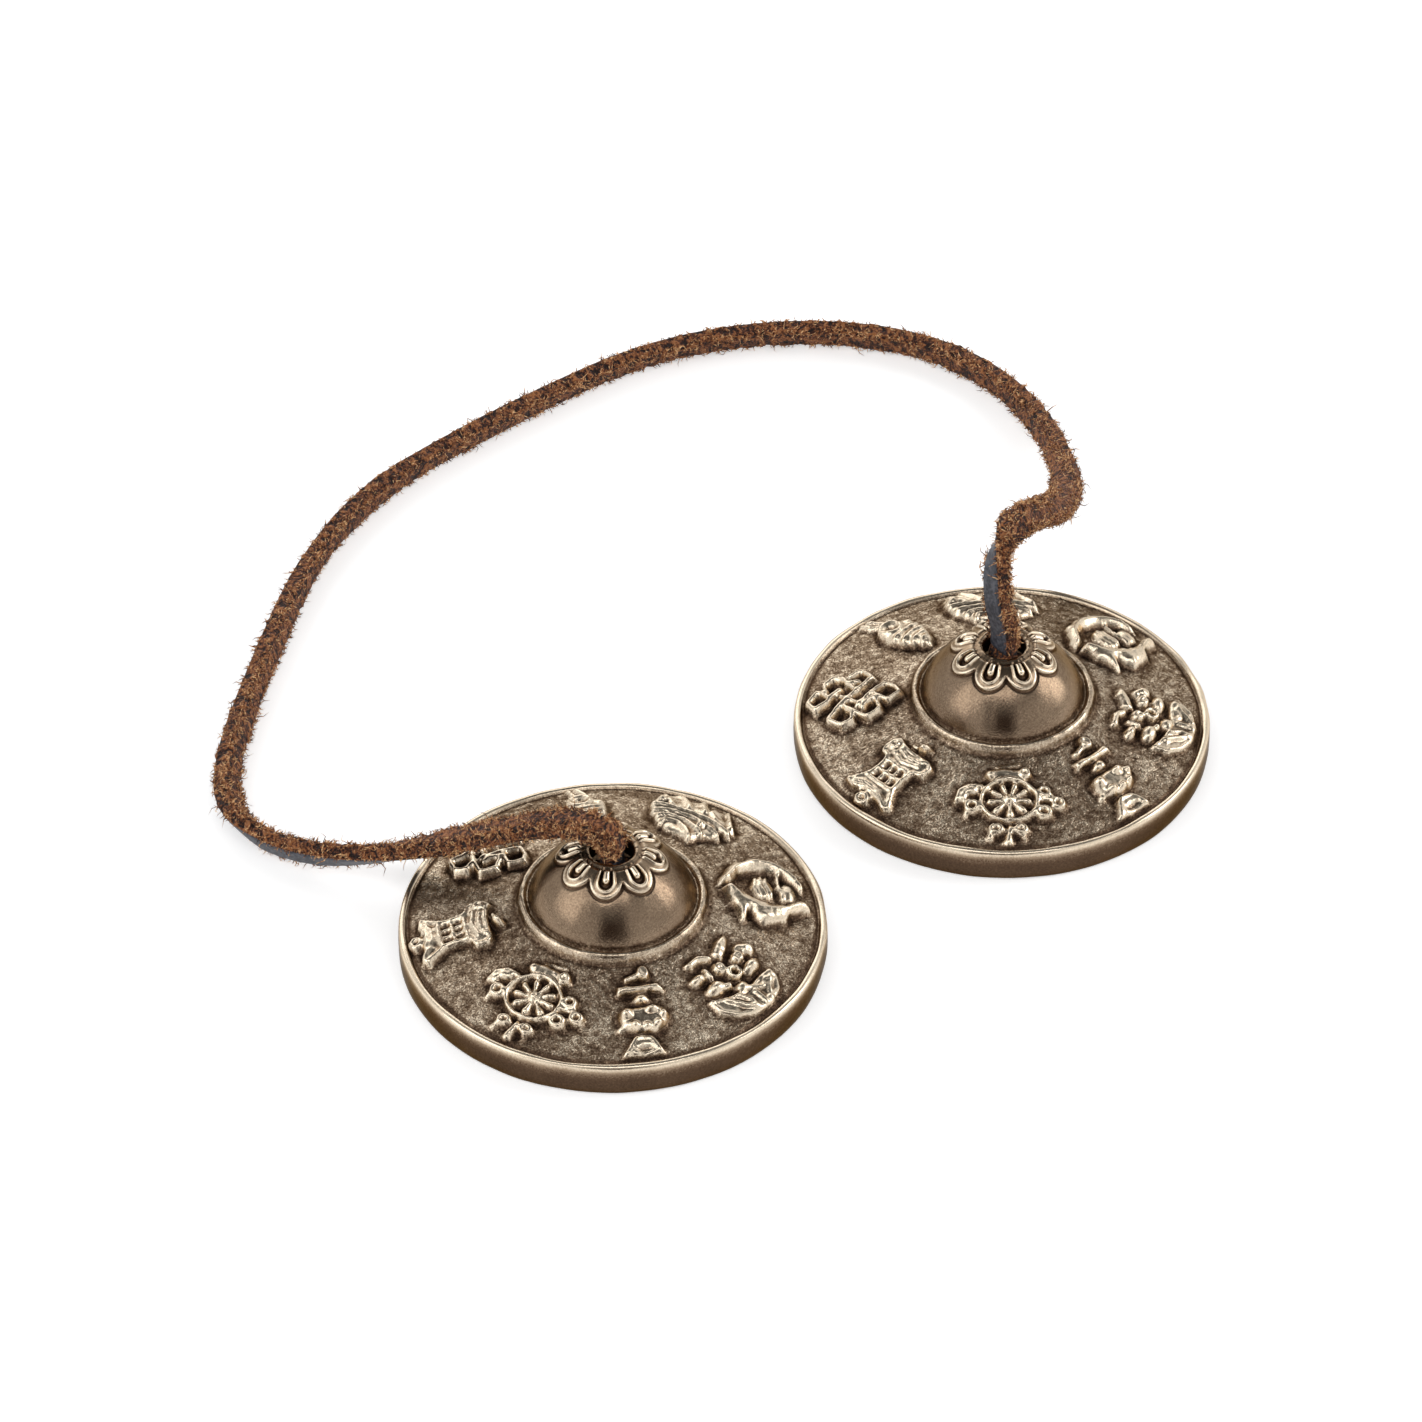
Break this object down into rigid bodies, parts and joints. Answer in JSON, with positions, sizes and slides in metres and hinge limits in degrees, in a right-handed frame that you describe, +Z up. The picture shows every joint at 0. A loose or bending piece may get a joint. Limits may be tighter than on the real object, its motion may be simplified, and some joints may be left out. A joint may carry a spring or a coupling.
{
  "type": "tingsha cymbals",
  "caption": "Pair of small cast bell-metal hand cymbals with domed centres and raised symbols, tied to the ends of a leather thong and struck rim to rim to ring",
  "frame": {"origin": "midway between the two cymbals, on the surface that their rims rest on", "axes": "+X from the front cymbal to the rear cymbal, +Y towards the thong's loop, +Z up through the domes"},
  "size_m": [0.1684, 0.146, 0.0402],
  "materials": {
    "bell_metal": "antiqued cast bell metal, polished lip and dome, dark patina in the recesses",
    "leather": "flat lace, suede flesh side and cut edges, smooth dark grain side"
  },
  "bodies": {
    "thong": {"thong": "leather"},
    "front_knot": {"front_knot": "leather"},
    "front_cymbal": {"front_cymbal": "bell_metal"},
    "rear_knot": {"rear_knot": "leather"},
    "rear_cymbal": {"rear_cymbal": "bell_metal"}
  },
  "joints": [
    {"name": "front_swing", "type": "hinge", "parent": "thong", "child": "front_knot", "pos_m": [-0.0385, 0, 0.0201], "axis": [-0.848, -0.5299, 0], "range_deg": [0, 60]},
    {"name": "front_spin", "type": "hinge", "parent": "front_knot", "child": "front_cymbal", "pos_m": [-0.0385, 0, 0.0201], "axis": [0, 0, 1], "continuous": true},
    {"name": "rear_swing", "type": "hinge", "parent": "thong", "child": "rear_knot", "pos_m": [0.0385, 0, 0.0201], "axis": [0.1219, 0.9925, 0], "range_deg": [-25, 45]},
    {"name": "rear_spin", "type": "hinge", "parent": "rear_knot", "child": "rear_cymbal", "pos_m": [0.0385, 0, 0.0201], "axis": [0, 0, 1], "continuous": true}
  ]
}
